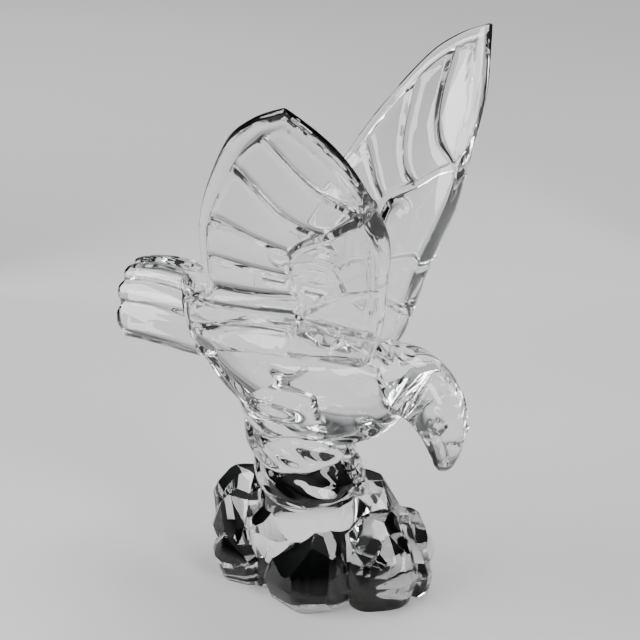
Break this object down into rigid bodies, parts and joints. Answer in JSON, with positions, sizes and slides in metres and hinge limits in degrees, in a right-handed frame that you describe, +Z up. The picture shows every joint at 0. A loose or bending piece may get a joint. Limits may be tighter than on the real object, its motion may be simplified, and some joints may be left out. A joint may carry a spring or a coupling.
{
  "type": "crystal eagle sculpture",
  "caption": "Clear crystal eagle with raised wings and fanned tail, alighting on a craggy rock base; stands on its flat underside.",
  "frame": {"origin": "middle of the rock's flat underside", "axes": "+Z up, the bird faces -Y, its right wing is on -X"},
  "size_m": [0.1354, 0.1452, 0.2102],
  "materials": {
    "crystal": "clear polished lead crystal"
  },
  "bodies": {
    "root": {"crystal_eagle": "crystal"}
  },
  "joints": []
}
